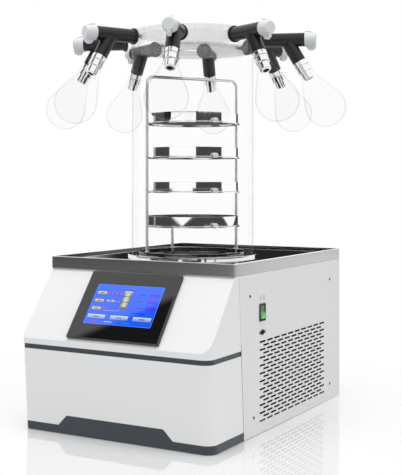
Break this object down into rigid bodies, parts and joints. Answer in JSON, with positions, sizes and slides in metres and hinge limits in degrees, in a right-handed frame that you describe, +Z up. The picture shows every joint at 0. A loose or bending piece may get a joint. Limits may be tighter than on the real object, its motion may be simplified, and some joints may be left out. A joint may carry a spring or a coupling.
{
  "type": "manifold freeze dryer",
  "caption": "Bench-top manifold freeze dryer: white cabinet with sloped touch screen, clear drum and tray rack over a cold trap, and a clear head with rubber valves and glass flasks.",
  "frame": {"origin": "on the bench surface, under the middle of the whole part's outline seen from above", "axes": "+Z up, -Y toward the front with the screen, +X toward the right side panel with the switch and vents"},
  "size_m": [0.6528, 0.6844, 0.859],
  "materials": {
    "white_paint": "satin powder coat",
    "white_plastic": "satin",
    "slate_plastic": "satin",
    "zinc_steel": "zinc plated",
    "black_rubber": "matte",
    "black_gloss": "gloss",
    "display_glass": "lit display",
    "black_plastic": "satin",
    "green_lamp": "lit translucent",
    "screw_steel": "plated",
    "steel_deck": "bright",
    "steel_trap": "electropolished",
    "steel_port": "turned",
    "foam": "foam",
    "black_paint": "semi-gloss",
    "coil_aluminium": "bare fins",
    "silicone": "satin translucent",
    "clear_acrylic": "clear",
    "steel_rack": "polished",
    "steel_tray": "polished",
    "chrome_adapter": "polished",
    "knob_grey": "satin",
    "clear_glass": "clear"
  },
  "bodies": {
    "cabinet": {"base_pan": "zinc_steel", "cold_trap": "steel_trap", "compressor": "black_paint", "condenser": "coil_aluminium", "data_socket": "black_plastic", "drum": "clear_acrylic", "fan_shroud": "black_plastic", "feet": "black_rubber", "flask_1": "clear_glass", "flask_2": "clear_glass", "flask_3": "clear_glass", "flask_4": "clear_glass", "flask_5": "clear_glass", "flask_6": "clear_glass", "flask_7": "clear_glass", "flask_8": "clear_glass", "flask_adapters": "chrome_adapter", "front_lower_cover": "white_plastic", "front_upper_cover": "white_plastic", "gasket": "silicone", "lcd_panel": "display_glass", "manifold_head": "clear_acrylic", "panel_screws": "screw_steel", "plinth": "slate_plastic", "power_inlet": "black_plastic", "rear_panel": "white_paint", "screen_bezel": "black_gloss", "side_panel_left": "white_paint", "side_panel_right": "white_paint", "switch_housing": "black_gloss", "top_deck": "steel_deck", "trap_insulation": "foam", "tray_1": "steel_tray", "tray_2": "steel_tray", "tray_3": "steel_tray", "tray_4": "steel_tray", "tray_rack": "steel_rack", "trim_band": "slate_plastic", "vacuum_nozzle": "steel_port", "valve_body_1": "black_rubber", "valve_body_2": "black_rubber", "valve_body_3": "black_rubber", "valve_body_4": "black_rubber", "valve_body_5": "black_rubber", "valve_body_6": "black_rubber", "valve_body_7": "black_rubber", "valve_body_8": "black_rubber"},
    "knob_1": {"valve_knob_1": "knob_grey"},
    "knob_2": {"valve_knob_2": "knob_grey"},
    "knob_3": {"valve_knob_3": "knob_grey"},
    "knob_4": {"valve_knob_4": "knob_grey"},
    "knob_5": {"valve_knob_5": "knob_grey"},
    "knob_6": {"valve_knob_6": "knob_grey"},
    "knob_7": {"valve_knob_7": "knob_grey"},
    "knob_8": {"valve_knob_8": "knob_grey"},
    "rocker": {"switch_rocker": "green_lamp"},
    "fan": {"fan_rotor": "black_plastic"}
  },
  "joints": [
    {"name": "knob_1_turn", "type": "hinge", "parent": "cabinet", "child": "knob_1", "pos_m": [0.09087, -0.26496, 0.8365], "axis": [0.342, -0.9397, 0], "range_deg": [0, 180]},
    {"name": "knob_2_turn", "type": "hinge", "parent": "cabinet", "child": "knob_2", "pos_m": [0.24081, -0.12757, 0.8365], "axis": [0.9063, -0.4226, 0], "range_deg": [0, 180]},
    {"name": "knob_3_turn", "type": "hinge", "parent": "cabinet", "child": "knob_3", "pos_m": [0.24968, 0.07559, 0.8365], "axis": [0.9397, 0.342, 0], "range_deg": [0, 180]},
    {"name": "knob_4_turn", "type": "hinge", "parent": "cabinet", "child": "knob_4", "pos_m": [0.11229, 0.22553, 0.8365], "axis": [0.4226, 0.9063, 0], "range_deg": [0, 180]},
    {"name": "knob_5_turn", "type": "hinge", "parent": "cabinet", "child": "knob_5", "pos_m": [-0.09087, 0.23439, 0.8365], "axis": [-0.342, 0.9397, 0], "range_deg": [0, 180]},
    {"name": "knob_6_turn", "type": "hinge", "parent": "cabinet", "child": "knob_6", "pos_m": [-0.24081, 0.09701, 0.8365], "axis": [-0.9063, 0.4226, 0], "range_deg": [0, 180]},
    {"name": "knob_7_turn", "type": "hinge", "parent": "cabinet", "child": "knob_7", "pos_m": [-0.24968, -0.10616, 0.8365], "axis": [-0.9397, -0.342, 0], "range_deg": [0, 180]},
    {"name": "knob_8_turn", "type": "hinge", "parent": "cabinet", "child": "knob_8", "pos_m": [-0.11229, -0.25609, 0.8365], "axis": [-0.4226, -0.9063, 0], "range_deg": [0, 180]},
    {"name": "rocker_tip", "type": "hinge", "parent": "cabinet", "child": "rocker", "pos_m": [0.222, -0.11678, 0.25], "axis": [0, 1, 0], "range_deg": [0, 24]},
    {"name": "fan_spin", "type": "hinge", "parent": "cabinet", "child": "fan", "pos_m": [0.155, 0.11572, 0.0905], "axis": [1, 0, 0], "continuous": true}
  ]
}
